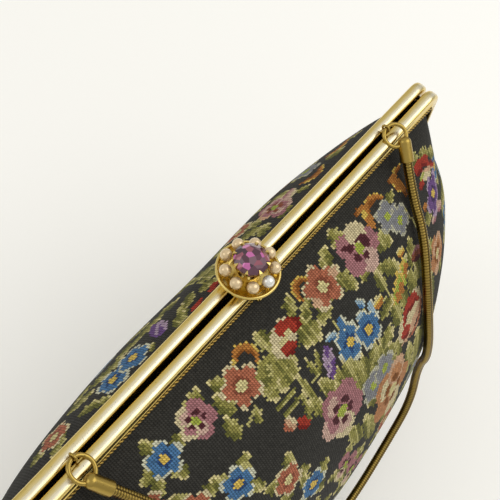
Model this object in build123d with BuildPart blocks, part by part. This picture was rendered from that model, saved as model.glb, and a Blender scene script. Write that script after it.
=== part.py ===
from build123d import *
import math
import os

# A petit point evening bag on a two-bar gilt frame, standing closed on its base.
# Origin on the surface below the middle of the frame, +Z up, +X along the frame,
# -Y towards the front, where the chain handle hangs. All sizes in millimetres.

# frame
frame_length = 200.0     # over the two rounded corners
frame_top = 150.0        # crown of the bars above the standing surface
bar_width = 3.8          # one half, front to back, at mid length
bar_depth = 4.4          # crown to rim
gap_middle = 1.6         # between the closed halves at mid length
gap_end = 0.7            # and at the corners, because the bars are bowed
corner_radius = 8.0
crown_radius = 1.8
metal = 0.9              # wall of the folded channel
leg_splay = 5.0          # how far a leg leans outwards at its hinge
hinge_drop = 30.0        # hinge axis below the crown
leg_clear = 3.5          # the channel ends this far above the hinge axis
ear_thickness = 1.0
ear_radius = 3.0
ear_gap = 0.3            # between the two ears of a hinge
rivet_radius = 0.9
rivet_head = 0.8
running = 0.05           # radial clearance of a pin that turns

# needlework body: height, reach past the end of the frame, depth to the front, depth to the back
wall = 1.8
body_rows = [
    (0, -23, 32, 13),
    (6, -14, 41, 18),
    (20, -4, 49, 22),
    (45, 5.5, 56, 25),
    (75, 9, 58.5, 26),
    (100, 9.8, 53, 23.5),
    (112, 8.2, 47.5, 21.5),
    (118, 4.8, 44, 20.5),
    (123, -0.4, 40.5, 19.3),
    (130, -3.5, 33, 17),
    (138, -5.2, 21.5, 12),
    (144.2, -6.4, 5.5, 5.5),
]
# the moving strip of the back: height above the hinge axis, reach past the collar, depth
strip_rows = [
    (5, 0, 6.0),
    (14.8, 0, 9.6),
    (18, 0, 8.9),
    (24.2, -0.5, 5.5),
]
back_at_hinge = 20.0     # depth of the cloth to the back, level with the hinge axis
slit_above = 1.0         # its top above the end of the leg
# hinge slit of each layer: inner end in from the end of the frame, room before and behind the bars, room below the ear
front_slit = (1.0, 0.7, 0.7, 0.7)
back_slit = (2.3, 0.7, 8.4, 1.5)
lining_slit = (2.0, 1.4, 8.4, 2.0)
front_fullness = 0.58    # 0.55 would be a true ellipse, 1 a rectangle
back_fullness = 0.67
lining_gap = 0.3
lining_wall = 0.7
lining_back_top = 110.0
collar_wall = 1.4
collar_room = 0.6        # the moving back strip inside the fixed back panel
collar_end_radius = 6.5
collar_inset = 4.8       # end of the collar, in from the end of the frame
seam_wall = 1.3         # cloth edge in the channel
braid_inset = 5.0        # crown to the middle of the braid
braid_front = 4.9        # and its distance from the middle plane
braid_radius = 0.55

# clasp
clasp_y = 0.4
dish_radius = 9.5
dish_sheet = 0.7
dish_floor = 1.0         # underside above the crown
dish_rise = 2.3
dish_flat = 5.5
rim_radius = 0.5
pivot_y = -6.4
pivot_drop = 1.5
pin_radius = 0.6
pin_length = 7.2
leaf_width = 4.0
leaf_sheet = 0.6
barrel_radius = 1.1
tongue_reach = 3.2
bracket_ear = 0.9
bracket_room = 0.2
pearl_count = 9
pearl_radius = 1.83
pearl_circle = 7.25
pearl_height = 6.2
peg_radius = 0.5
peg_depth = 1.2
pearl_turn = 26.0
cup_radius = 1.0
stone_radius = 5.1
stone_height = 9.4       # girdle above the crown
girdle = 0.5
crown_height = 1.7
pavilion = 3.6
prong_count = 8
prong_width = 0.75
collet_sheet = 0.5

# handle
lug_x = 70.0
lug_thickness = 0.8
lug_radius = 1.7
lug_hole = 0.75
lug_depth = 3.2          # foot of the stem below the crown
lug_rise = 1.9           # hole centre above the crown
ring_wire = 0.6          # radius
ring_radius = 3.4        # to the middle of the wire
ring_dip = 13.4          # degrees that the ring slopes down over the front bar
ring_turn = 10.0         # degrees that it stands off square
cap_hole = 1.05
cap_eye = 0.6            # half the thickness of the flattened eye
cap_dome = 1.9
cap_mouth = 2.2
cap_length = 8.5
socket_depth = 2.0
chain_radius = 1.75
# points of the chain's route, from the right cap to the left one, below frame_top
chain_route = [
    (65.9, -19.1, -10.9),
    (61.0, -29.6, -17.6),
    (50.4, -43.7, -32.7),
    (52.5, -54.4, -64.1),
    (59.2, -53.4, -87.2),
    (56.1, -59.7, -108.7),
    (42.0, -62.4, -124.2),
    (16.8, -65.2, -133.5),
    (-14.2, -64.8, -134.1),
    (-40.5, -62.2, -124.8),
    (-55.3, -59.8, -109.0),
    (-59.0, -53.8, -87.0),
    (-52.8, -54.2, -63.8),
    (-50.9, -43.5, -32.4),
    (-61.0, -29.6, -17.6),
    (-65.9, -19.1, -10.9),
]

os.makedirs("parts", exist_ok=True)


def save(piece, name):
    piece.part.label = name
    export_step(piece.part, f"parts/{name}.step")


# the two halves of the frame

half_length = frame_length / 2
hinge_z = frame_top - hinge_drop
leg_end = hinge_z + leg_clear
front_face = gap_middle / 2 + bar_width
ear_outer = frame_length / 2 + leg_splay - 1.6
front_ear = (ear_outer - ear_thickness, ear_outer)
back_ear = (front_ear[0] - ear_gap - ear_thickness, front_ear[0] - ear_gap)


def outline_band(plane, near, far, low):
    """The strip between two insets of the frame's side outline, open at the feet."""
    lean = leg_splay / hinge_drop
    with BuildSketch(plane) as band:
        for inset, mode in ((near, Mode.ADD), (far, Mode.SUBTRACT)):
            half = frame_length / 2 - inset * (math.hypot(1, lean) - lean)
            top = frame_top - inset
            foot = half + (top - low) * lean
            with BuildLine():
                FilletPolyline(
                    (-foot, low), (-half, top), (half, top), (foot, low), radius=corner_radius - inset
                )
                Line((foot, low), (-foot, low))
            make_face(mode=mode)
    return band.sketch


def outer_long_edges(part):
    """The edges along the outer outline of the face that looks away from the gap."""
    face = part.faces().sort_by(Axis.Y)[0]
    beside = frame_length / 2 - 1
    above = frame_top - 0.3 * corner_radius
    return [e for e in face.edges() if abs((e @ 0.5).X) > beside or (e @ 0.5).Z > above]


def frame_half(ears, hole_radius):
    """The front half: a bowed channel with rounded crown, two legs and two hinge ears."""
    with BuildPart() as half:
        blank = outline_band(Plane.XZ.offset(gap_end / 2), 0, bar_depth, leg_end)
        extrude(blank, front_face - gap_end / 2)
        fillet(outer_long_edges(half.part), crown_radius)
        # the bow: the halves nearly meet at the corners and stand apart in the middle
        reach = frame_length / 2 + leg_splay + 1
        with BuildSketch(Plane.XY.offset(leg_end)):
            with BuildLine():
                ThreePointArc((-reach, -gap_end / 2), (0, -gap_middle / 2), (reach, -gap_end / 2))
                Line((-reach, -gap_end / 2), (-reach, 0))
                Line((-reach, 0), (reach, 0))
                Line((reach, 0), (reach, -gap_end / 2))
            make_face()
        extrude(amount=frame_top - leg_end + 1, mode=Mode.SUBTRACT)
        # the channel that holds the edge of the needlework
        inner_wall = gap_middle / 2 + metal + 0.2
        channel = outline_band(Plane.XZ.offset(inner_wall), metal, bar_depth + 1, leg_end - 1)
        extrude(channel, front_face - metal - inner_wall, mode=Mode.SUBTRACT)
        for side in (-1, 1):
            with BuildSketch(Plane.YZ.offset(side * sum(ears) / 2)):
                with Locations((0, hinge_z)):
                    Circle(ear_radius)
                with Locations((-front_face + 0.3, hinge_z)):
                    Rectangle(bar_width - 0.3, leg_clear + bar_depth, align=(Align.MIN, Align.MIN))
            extrude(amount=ear_thickness / 2, both=True)
            with BuildSketch(Plane.YZ.offset(side * sum(ears) / 2)):
                with Locations((0, hinge_z)):
                    Circle(hole_radius)
            extrude(amount=ear_thickness, both=True, mode=Mode.SUBTRACT)
    return half.part


with BuildPart() as front_frame:
    add(frame_half(front_ear, rivet_radius))
save(front_frame, "front_frame")

with BuildPart() as back_frame:
    mirror(frame_half(back_ear, rivet_radius + running), about=Plane.XZ)
save(back_frame, "back_frame")

# hinge rivets, closed over both ears

with BuildPart() as hinge_rivet_right:
    inside = back_ear[0] - running
    outside = front_ear[1]
    with BuildSketch(Plane.XZ):
        with BuildLine():
            Polyline(
                (inside - rivet_head, hinge_z), (inside - rivet_head, hinge_z + 1.2 * rivet_radius),
                (inside, hinge_z + 1.9 * rivet_radius), (inside, hinge_z + rivet_radius),
                (outside, hinge_z + rivet_radius), (outside, hinge_z + 1.9 * rivet_radius),
                (outside + rivet_head, hinge_z + 1.2 * rivet_radius), (outside + rivet_head, hinge_z),
                close=True,
            )
        make_face()
    revolve(axis=Axis((0, 0, hinge_z), (1, 0, 0)))
save(hinge_rivet_right, "hinge_rivet_right")

with BuildPart() as hinge_rivet_left:
    mirror(hinge_rivet_right.part, about=Plane.YZ)
save(hinge_rivet_left, "hinge_rivet_left")

# gilt braid under the rim of each half

def braid_points():
    lean = leg_splay / hinge_drop
    half = frame_length / 2 - braid_inset * (math.hypot(1, lean) - lean)
    top = frame_top - braid_inset
    low = leg_end + 2
    foot = half + (top - low) * lean
    return [
        (-foot, -braid_front, low), (-half, -braid_front, top),
        (half, -braid_front, top), (foot, -braid_front, low),
    ]


with BuildPart() as front_braid:
    with BuildLine() as braid_route:
        FilletPolyline(*braid_points(), radius=corner_radius - braid_inset)
    with BuildSketch(Plane(origin=braid_route.line @ 0, z_dir=braid_route.line % 0)):
        Circle(braid_radius)
    sweep(path=braid_route.line)
save(front_braid, "front_braid")

with BuildPart() as back_braid:
    mirror(front_braid.part, about=Plane.XZ)
save(back_braid, "back_braid")

# the needlework body: a lofted shell, fuller in front

collar_half = half_length - collar_inset
sections = [(height, half_length + past, front, back) for height, past, front, back in body_rows]
strip_sections = [(height, collar_half + past, depth) for height, past, depth in strip_rows]


def quarter(a, b, fullness):
    return Bezier((a, 0), (a, fullness * b), (fullness * a, b), (0, b))


def bag_section(height, half_width, front, back):
    with BuildSketch(Plane.XY.offset(height)) as section:
        with BuildLine():
            quarter(half_width, back, back_fullness)
            quarter(-half_width, back, back_fullness)
            quarter(-half_width, -front, front_fullness)
            quarter(half_width, -front, front_fullness)
        make_face()
    return section.sketch


def slopes(rows):
    """Change of each column with height, row by row, from the rows on both sides."""
    ends = [(rows[max(k - 1, 0)], rows[min(k + 1, len(rows) - 1)]) for k in range(len(rows))]
    return [[(up[c] - low[c]) / (up[0] - low[0]) for c in range(1, len(up))] for low, up in ends]


def halved(rows):
    """The rows with one more between each two, on a smooth curve through them."""
    lean = slopes(rows)
    finer = []
    for k in range(len(rows) - 1):
        low, up = rows[k], rows[k + 1]
        span = up[0] - low[0]
        middle = [(low[c] + up[c]) / 2 + span * (lean[k][c - 1] - lean[k + 1][c - 1]) / 8 for c in range(1, 4)]
        finer += [low, ((low[0] + up[0]) / 2, *middle)]
    return finer + [rows[-1]]


def bag_solid(inset):
    """The body, or its inside at a distance of inset measured square to the cloth."""
    rows = halved(sections)
    faces = []
    for row, lean in zip(rows, slopes(rows)):
        height, half_width, front, back = row
        if height and height < inset + 1:
            continue
        front = max(front - inset * math.hypot(1, lean[1]), 1.5)
        back = max(back - inset * math.hypot(1, lean[2]), 1.5)
        faces.append(bag_section(height or inset, half_width - inset, front, back))
    return loft(faces, ruled=True, mode=Mode.PRIVATE)


outer_body = bag_solid(0)
inner_body = bag_solid(wall)
rim_z = sections[-1][0]
rim_front = sections[-1][2]
rim_top = frame_top - metal - 0.6
rim_half = sections[-1][1] - 3
seam_y = gap_middle / 2 + metal + 0.3


def hinge_room(inset, before, behind, below):
    """Space round the hinges, where the cloth is slit to let them through."""
    low = hinge_z - ear_radius - below
    high = leg_end + slit_above
    reach = half_length / 2     # well past the widest cloth
    with BuildPart() as room:
        for side in (-1, 1):
            with Locations((side * (half_length - inset + reach / 2), (behind - before) / 2, (low + high) / 2)):
                Box(reach, 2 * front_face + before + behind, high - low)
    return room.part


with BuildPart() as front_panel:
    add(outer_body)
    add(inner_body, mode=Mode.SUBTRACT)
    split(bisect_by=Plane.XZ, keep=Keep.TOP)
    add(hinge_room(*front_slit), mode=Mode.SUBTRACT)
    # the edge that the channel grips
    with Locations((0, -seam_y, rim_z)):
        Box(2 * rim_half, rim_front - seam_y - 0.6, 1.2, align=(Align.CENTER, Align.MAX, Align.MAX))
    with Locations((0, -seam_y, rim_z - 1.2)):
        Box(2 * rim_half, seam_wall, rim_top - rim_z + 1.2, align=(Align.CENTER, Align.MAX, Align.MIN))
    add(front_braid.part, mode=Mode.SUBTRACT)
save(front_panel, "front_panel")

with BuildPart() as back_panel:
    add(outer_body)
    add(inner_body, mode=Mode.SUBTRACT)
    split(bisect_by=Plane.XZ, keep=Keep.BOTTOM)
    split(bisect_by=Plane.XY.offset(hinge_z - 1), keep=Keep.BOTTOM)
    add(hinge_room(*back_slit), mode=Mode.SUBTRACT)
save(back_panel, "back_panel")

# the back panel above the hinges goes with the back half of the frame: its lower part is
# turned about the hinge axis, so that it slides inside the fixed cloth as the bag opens

collar_radius = back_at_hinge - wall - collar_room


def collar_curve(thinner):
    end = hinge_z + collar_end_radius - thinner
    top = hinge_z + collar_radius - thinner
    knee = end + 0.72 * (top - end)
    return Spline(
        (-collar_half, end), (-0.65 * collar_half, knee), (0, top), (0.65 * collar_half, knee), (collar_half, end)
    )


def strip_solid(inset):
    faces = []
    for height, half_width, depth in strip_sections:
        with BuildSketch(Plane.XY.offset(hinge_z + height)) as section:
            with BuildLine():
                quarter(half_width - inset, depth - inset, back_fullness)
                quarter(-half_width + inset, depth - inset, back_fullness)
                Line((-half_width + inset, 0), (half_width - inset, 0))
            make_face()
        faces.append(section.sketch)
    return loft(faces, ruled=True, mode=Mode.PRIVATE)


with BuildPart() as back_panel_top:
    with BuildSketch(Plane.XZ):
        with BuildLine():
            above = collar_curve(0)
            under = collar_curve(collar_wall)
            Line(above @ 0, under @ 0)
            Line(above @ 1, under @ 1)
        make_face()
    revolve(axis=Axis((0, 0, hinge_z), (-1, 0, 0)), revolution_arc=93)
    add(strip_solid(0))
    add(strip_solid(collar_wall), mode=Mode.SUBTRACT)
    with Locations((0, seam_y, rim_z)):
        Box(2 * rim_half, rim_front - seam_y - 0.6, 1.2, align=(Align.CENTER, Align.MIN, Align.MAX))
    with Locations((0, seam_y, rim_z - 1.2)):
        Box(2 * rim_half, seam_wall, rim_top - rim_z + 1.2, align=(Align.CENTER, Align.MIN, Align.MIN))
save(back_panel_top, "back_panel_top")

lining_in = wall + lining_gap

with BuildPart() as lining:
    add(bag_solid(lining_in))
    add(bag_solid(lining_in + lining_wall), mode=Mode.SUBTRACT)
    split(bisect_by=Plane.XY.offset(rim_z - 4), keep=Keep.BOTTOM)
    with Locations((0, -4, lining_back_top)):
        Box(2.4 * frame_length, 80, 60, align=(Align.CENTER, Align.MIN, Align.MIN), mode=Mode.SUBTRACT)
    add(hinge_room(*lining_slit), mode=Mode.SUBTRACT)
save(lining, "lining")

# clasp: bracket, pin, sprung leaf, dish

pivot_z = frame_top - pivot_drop
ear_inner = leaf_width / 2 + bracket_room

with BuildPart() as clasp_bracket:
    with Locations((0, -front_face, frame_top - crown_radius - 0.1)):
        Box(2 * (ear_inner + bracket_ear), 0.45, 1.8, align=(Align.CENTER, Align.MAX, Align.MAX))
    for side in (-1, 1):
        with BuildSketch(Plane.YZ.offset(side * (ear_inner + bracket_ear / 2))):
            with Locations((pivot_y, pivot_z)):
                Circle(barrel_radius)
            with BuildLine():
                Polyline(
                    (pivot_y, pivot_z + barrel_radius), (-front_face, frame_top - crown_radius - 0.1),
                    (-front_face, frame_top - crown_radius - 1.9), (pivot_y, pivot_z - barrel_radius),
                    close=True,
                )
            make_face()
        extrude(amount=bracket_ear / 2, both=True)
    with Locations(Plane.YZ):
        with Locations((pivot_y, pivot_z, 0)):
            Cylinder(pin_radius, 20, mode=Mode.SUBTRACT)
    split(bisect_by=Plane.XZ.offset(front_face), keep=Keep.TOP)
save(clasp_bracket, "clasp_bracket")

with BuildPart() as clasp_pin:
    with Locations(Plane.YZ):
        with Locations((pivot_y, pivot_z, 0)):
            Cylinder(pin_radius, pin_length)
save(clasp_pin, "clasp_pin")

leaf_top = frame_top + dish_floor

with BuildPart() as clasp_leaf:
    with BuildSketch(Plane.YZ):
        with Locations((pivot_y, pivot_z)):
            Circle(barrel_radius)
        with BuildLine():
            Polyline(
                (0, leaf_top), (pivot_y - 0.6, leaf_top), (pivot_y - barrel_radius, leaf_top - 0.8),
                (pivot_y - barrel_radius, pivot_z), (pivot_y - 0.3, pivot_z),
                (pivot_y - 0.3, leaf_top - leaf_sheet), (-leaf_sheet, leaf_top - leaf_sheet),
                (-leaf_sheet, frame_top - tongue_reach), (0, frame_top - tongue_reach), close=True,
            )
        make_face()
    extrude(amount=leaf_width / 2, both=True)
    with Locations(Plane.YZ):
        with Locations((pivot_y, pivot_z, 0)):
            Cylinder(pin_radius + running, leaf_width + 1, mode=Mode.SUBTRACT)
    with Locations(Plane.XZ):
        with Locations((0, frame_top - 2, 0)):
            Cylinder(0.7, 3, mode=Mode.SUBTRACT)
save(clasp_leaf, "clasp_leaf")

with BuildPart() as catch_stud:
    with BuildSketch(Plane.XZ.offset(-gap_middle / 2)):
        with Locations((0, frame_top - 2)):
            Circle(0.6)
    extrude(amount=0.3)
    fillet(catch_stud.edges().sort_by(Axis.Y)[:1], 0.15)
save(catch_stud, "catch_stud")

dish_edge = frame_top + dish_floor + dish_rise
pearl_z = frame_top + pearl_height
clasp_axis = Axis((0, clasp_y, 0), (0, 0, 1))

with BuildPart() as clasp_dish:
    with BuildSketch(Plane.XZ.offset(-clasp_y)):
        with BuildLine():
            Line((0, leaf_top), (dish_flat, leaf_top))
            Spline((dish_flat, leaf_top), (7.9, leaf_top + 0.8), (dish_radius, dish_edge), tangents=((1, 0), (0.4, 1)))
            Line((dish_radius, dish_edge), (dish_radius - dish_sheet, dish_edge))
            Spline(
                (dish_radius - dish_sheet, dish_edge), (7.5, leaf_top + 0.8 + dish_sheet),
                (dish_flat - 0.3, leaf_top + dish_sheet), tangents=((-0.4, -1), (-1, 0)),
            )
            Line((dish_flat - 0.3, leaf_top + dish_sheet), (0, leaf_top + dish_sheet))
            Line((0, leaf_top + dish_sheet), (0, leaf_top))
        make_face()
        with Locations((dish_radius - dish_sheet / 2, dish_edge)):
            Circle(rim_radius)
    revolve(axis=clasp_axis)
    # a claw with a cup for each pearl
    for k in range(pearl_count):
        turn = math.radians(pearl_turn + 360 / pearl_count * k)
        x = pearl_circle * math.cos(turn)
        y = clasp_y + pearl_circle * math.sin(turn)
        with Locations((x, y, leaf_top + 0.8)):
            Cylinder(
                peg_radius, pearl_z - pearl_radius + peg_depth - leaf_top - 0.8,
                align=(Align.CENTER, Align.CENTER, Align.MIN),
            )
        with Locations((x, y, pearl_z - pearl_radius + 0.3)):
            Cone(peg_radius, cup_radius, 1.0, align=(Align.CENTER, Align.CENTER, Align.MAX))
save(clasp_dish, "clasp_dish")

for k in range(pearl_count):
    turn = math.radians(pearl_turn + 360 / pearl_count * k)
    with BuildPart() as pearl:
        with Locations((pearl_circle * math.cos(turn), clasp_y + pearl_circle * math.sin(turn), pearl_z)):
            Sphere(pearl_radius)
        add(clasp_dish.part, mode=Mode.SUBTRACT)
    save(pearl, f"pearl_{k + 1}")

# collet: a flared cup pierced by windows, which leave the claws standing round the stone

girdle_z = frame_top + stone_height
collet_foot = leaf_top + dish_sheet
claw_top = girdle_z + girdle + 0.7

with BuildPart() as stone_collet:
    with BuildSketch(Plane.XZ.offset(-clasp_y)):
        with BuildLine():
            Polyline(
                (2.4, collet_foot), (3.2, collet_foot), (3.4, collet_foot + 1.6),
                (stone_radius + 0.1, girdle_z - 0.9), (stone_radius + collet_sheet, girdle_z),
                (stone_radius + collet_sheet - 0.1, claw_top - 0.3), (stone_radius - 0.7, claw_top),
                (stone_radius - 0.8, claw_top - 0.5), (stone_radius, girdle_z + girdle),
                (stone_radius, girdle_z), (stone_radius - 0.9, girdle_z - 0.9),
                (2.7, collet_foot + 1.6), close=True,
            )
        make_face()
    revolve(axis=clasp_axis)
    pitch = 2 * math.pi * stone_radius / prong_count - prong_width
    for k in range(prong_count):
        aim = Plane(origin=(0, clasp_y, 0), x_dir=(0, 0, 1), z_dir=Vector(1, 0, 0).rotate(Axis.Z, 360 / prong_count * k))
        with BuildSketch(aim.offset(1.5)) as window:
            with BuildLine():
                Polyline(
                    (collet_foot + 2.6, 0), (collet_foot + 2.9, -0.75), (collet_foot + 3.6, -1.1),
                    (girdle_z, -pitch / 2), (claw_top + 1, -pitch / 2),
                    (claw_top + 1, pitch / 2), (girdle_z, pitch / 2),
                    (collet_foot + 3.6, 1.1), (collet_foot + 2.9, 0.75), close=True,
                )
            make_face()
        extrude(amount=8, mode=Mode.SUBTRACT)
save(stone_collet, "stone_collet")


def gem_facets(sides, turn, lower_taper, upper_taper):
    """One set of facets: a polygon at the girdle, drawn in above and below it."""
    with BuildPart() as facets:
        with BuildSketch(Plane.XY.offset(girdle_z)):
            with Locations((0, clasp_y)):
                RegularPolygon(stone_radius, sides, rotation=turn, major_radius=False)
        extrude(amount=girdle)
        with BuildSketch(Plane.XY.offset(girdle_z + girdle)):
            with Locations((0, clasp_y)):
                RegularPolygon(stone_radius, sides, rotation=turn, major_radius=False)
        extrude(amount=crown_height, taper=upper_taper)
        with BuildSketch(Plane.XY.offset(girdle_z)):
            with Locations((0, clasp_y)):
                RegularPolygon(stone_radius, sides, rotation=turn, major_radius=False)
        extrude(amount=-pavilion, taper=lower_taper)
    return facets.part


with BuildPart() as stone:
    add(gem_facets(8, 0, 47, 50))
    add(gem_facets(8, 22.5, 44, 42), mode=Mode.INTERSECT)
    add(stone_collet.part, mode=Mode.SUBTRACT)
save(stone, "stone")

# handle: lugs in the gap, jump rings, end caps, chain


def bow(x):
    """Half the gap at x along the frame."""
    reach = frame_length / 2 + leg_splay + 1
    return gap_middle / 2 - (gap_middle - gap_end) / 2 * (x / reach) ** 2


for side, hand in ((-1, "left"), (1, "right")):
    eye = Vector(side * lug_x, 0, frame_top + lug_rise)
    with BuildPart() as lug:
        with BuildSketch(Plane.YZ.offset(side * lug_x)):
            with Locations((0, eye.Z)):
                Circle(lug_radius)
            with Locations((-bow(lug_x) - 0.1, frame_top - lug_depth)):
                Rectangle(bow(lug_x) + 0.3, lug_depth + lug_rise, align=(Align.MIN, Align.MIN))
            with Locations((0, eye.Z)):
                Circle(lug_hole, mode=Mode.SUBTRACT)
        extrude(amount=lug_thickness / 2, both=True)
        add(front_frame.part, mode=Mode.SUBTRACT)
    save(lug, f"lug_{hand}")

    across = Vector(side * math.sin(math.radians(ring_turn)), -math.cos(math.radians(ring_turn)), 0)
    dip = math.radians(ring_dip)
    outward = across * math.cos(dip) + Vector(0, 0, -math.sin(dip))
    middle = eye + outward * ring_radius
    tangent = Vector(0, 0, 1).cross(across)
    far = eye + outward * (2 * ring_radius)
    with BuildPart() as jump_ring:
        with BuildSketch(Plane(origin=far, x_dir=outward, z_dir=tangent)):
            Circle(ring_wire)
        revolve(axis=Axis(middle, outward.cross(tangent)))
    save(jump_ring, f"jump_ring_{hand}")

    first = chain_route[0 if side > 0 else -1]
    goal = Vector(first[0], first[1], frame_top + first[2])
    run = (goal - far).normalized()
    seat = far + run * (cap_hole - ring_wire - 0.32)
    slide = (tangent - run * tangent.dot(run)).normalized()
    cap_plane = Plane(origin=seat, x_dir=slide, z_dir=run)
    mouth = cap_length - cap_dome
    with BuildPart() as end_cap:
        with BuildSketch(Plane.XZ) as profile:
            with BuildLine():
                Spline((0, -cap_dome), (1.5, -1.1), (1.75, 0.6), (cap_mouth, mouth), tangents=((1, 0), (0.1, 1)))
                Line((cap_mouth, mouth), (0, mouth))
                Line((0, mouth), (0, -cap_dome))
            make_face()
        revolve(axis=Axis.Z)
        for face in (-1, 1):
            with Locations((face * cap_eye, 0, cap_hole + 0.4)):
                Box(
                    3, 6, 6, mode=Mode.SUBTRACT,
                    align=(Align.MIN if face > 0 else Align.MAX, Align.CENTER, Align.MAX),
                )
        with Locations(Plane.YZ):
            Cylinder(cap_hole, 8, mode=Mode.SUBTRACT)
        with Locations((0, 0, mouth)):
            Cylinder(chain_radius, 2 * socket_depth, mode=Mode.SUBTRACT)
    end_cap.part.label = f"end_cap_{hand}"
    placed = cap_plane.location * end_cap.part
    placed.label = f"end_cap_{hand}"
    export_step(placed, f"parts/end_cap_{hand}.step")
    chain_end = seat + run * (mouth - socket_depth)
    if side < 0:
        left_end = chain_end
    else:
        right_end = chain_end

route = [right_end] + [Vector(x, y, frame_top + z) for x, y, z in chain_route] + [left_end]
radii = []
for a, b, c in zip(route, route[1:], route[2:]):
    turn = math.radians((b - a).get_angle(c - b))
    shorter = min((b - a).length, (c - b).length)
    radii.append(0.45 * shorter / math.tan(turn / 2))
print("chain corner radii", [round(r, 1) for r in radii])

with BuildPart() as snake_chain:
    with BuildLine() as chain_line:
        FilletPolyline(*route, radius=radii)
    with BuildSketch(Plane(origin=chain_line.line @ 0, z_dir=chain_line.line % 0)):
        Circle(chain_radius)
    sweep(path=chain_line.line)
save(snake_chain, "snake_chain")
chain_length = sum(edge.length for edge in chain_line.edges())
section = math.pi * chain_radius ** 2
print("chain length", round(chain_length, 1), "volume", round(snake_chain.part.volume), round(section * chain_length))
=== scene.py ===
import math

import bmesh
import bpy
import numpy as np
from mathutils import Matrix


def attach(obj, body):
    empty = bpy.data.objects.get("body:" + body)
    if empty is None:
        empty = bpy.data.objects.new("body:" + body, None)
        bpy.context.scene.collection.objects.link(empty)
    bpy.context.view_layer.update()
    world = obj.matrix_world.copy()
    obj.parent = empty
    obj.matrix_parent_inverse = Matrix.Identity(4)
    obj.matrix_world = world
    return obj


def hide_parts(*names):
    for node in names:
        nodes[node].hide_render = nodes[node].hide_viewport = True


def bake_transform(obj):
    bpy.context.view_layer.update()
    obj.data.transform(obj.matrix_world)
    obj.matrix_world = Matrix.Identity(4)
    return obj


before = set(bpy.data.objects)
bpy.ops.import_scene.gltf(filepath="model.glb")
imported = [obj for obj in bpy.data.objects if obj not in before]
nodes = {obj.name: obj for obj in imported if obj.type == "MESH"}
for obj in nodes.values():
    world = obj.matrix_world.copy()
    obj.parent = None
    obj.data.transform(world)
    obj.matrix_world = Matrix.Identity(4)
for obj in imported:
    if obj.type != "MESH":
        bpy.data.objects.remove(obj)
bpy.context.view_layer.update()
mm = 0.001


def linearColour(hexText, alpha=1.0):  # sRGB hex to linear light, channel by channel
    parts = [int(hexText[k : k + 2], 16) / 255 for k in (1, 3, 5)]
    return [p / 12.92 if p <= 0.04045 else ((p + 0.055) / 1.055) ** 2.4 for p in parts] + [alpha]


def addNode(tree, kind, settings=None, links=None):  # one shader node, its values and what feeds it
    node = tree.nodes.new(kind)
    for key, value in (settings or {}).items():
        if isinstance(key, int) or key in node.inputs:
            node.inputs[key].default_value = value
        else:
            setattr(node, key, value)
    for key, source in (links or {}).items():
        tree.links.new(source, node.inputs[key])
    return node


def newMaterial(name, settings):
    material = bpy.data.materials.new(name)
    material.use_nodes = True
    tree = material.node_tree
    tree.nodes.clear()
    shader = addNode(tree, "ShaderNodeBsdfPrincipled", settings)
    addNode(tree, "ShaderNodeOutputMaterial", links={"Surface": shader.outputs[0]})
    return material, tree, shader


def gridMesh(name, points, material, keep=None, closeAcross=False, uv=None, sharp=None):
    # a mesh from a grid of points, rows by columns; keep marks the cells that are used
    rows, columns = points.shape[:2]
    index = np.arange(rows * columns).reshape(rows, columns)
    right = np.roll(index, -1, axis=1) if closeAcross else index[:, 1:]
    left = index if closeAcross else index[:, :-1]
    cells = np.stack([left[:-1], left[1:], right[1:], right[:-1]], axis=-1)
    used = np.ones(cells.shape[:2], bool) if keep is None else keep
    faces = cells[used]
    mesh = bpy.data.meshes.new(name)
    mesh.vertices.add(rows * columns)
    mesh.vertices.foreach_set("co", points.astype(np.float32).ravel())
    mesh.loops.add(faces.size)
    mesh.loops.foreach_set("vertex_index", faces.astype(np.int32).ravel())
    mesh.polygons.add(len(faces))
    mesh.polygons.foreach_set("loop_start", np.arange(0, faces.size, 4, dtype=np.int32))
    mesh.update(calc_edges=True)
    mesh.shade_smooth()
    if sharp:
        mesh.set_sharp_from_angle(angle=math.radians(sharp))
    if uv is not None:
        layer = mesh.uv_layers.new(name="stitches")
        layer.data.foreach_set("uv", uv[used].astype(np.float32).ravel())
    mesh.materials.append(material)
    thing = bpy.data.objects.new(name, mesh)
    bpy.context.scene.collection.objects.link(thing)
    return thing, used


def pointValues(thing, name, values):  # one number for each point of the mesh
    layer = thing.data.attributes.new(name, "FLOAT", "POINT")
    layer.data.foreach_set("value", values.astype(np.float32).ravel())


def joinMeshes(thing, *others):  # puts the meshes of the others into the first
    joined = bmesh.new()
    for piece in (thing, *others):
        joined.from_mesh(piece.data)
    joined.to_mesh(thing.data)
    joined.free()
    for piece in others:
        bpy.data.objects.remove(piece)


def finishPiece(thing, body, slotName, *replaced):
    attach(thing, body)
    if replaced:
        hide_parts(*replaced)


camera = {  # where the photographer stood, in metres, and which way the picture's sides point
    "place": (-0.1229, -0.0541, 0.3916),
    "right": (0.616, -0.7747, 0.1426),
    "up": (0.6368, 0.5963, 0.4887),
    "lens": 68.59,
}
cameraData = bpy.data.cameras.new("camera")
cameraData.lens = camera["lens"]
cameraData.sensor_width = 36
cameraData.clip_start = 0.01
eye = bpy.data.objects.new("camera", cameraData)
bpy.context.scene.collection.objects.link(eye)
bpy.context.scene.camera = eye
rightWay = np.array(camera["right"]) / np.linalg.norm(camera["right"])
upWay = np.array(camera["up"]) - rightWay * np.dot(camera["up"], rightWay)
upWay /= np.linalg.norm(upWay)
turn = np.eye(4)
turn[:3, 0], turn[:3, 1], turn[:3, 2], turn[:3, 3] = rightWay, upWay, np.cross(
    rightWay, upWay
), camera["place"]
eye.matrix_world = Matrix(turn.tolist())
print("camera placed")

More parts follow.
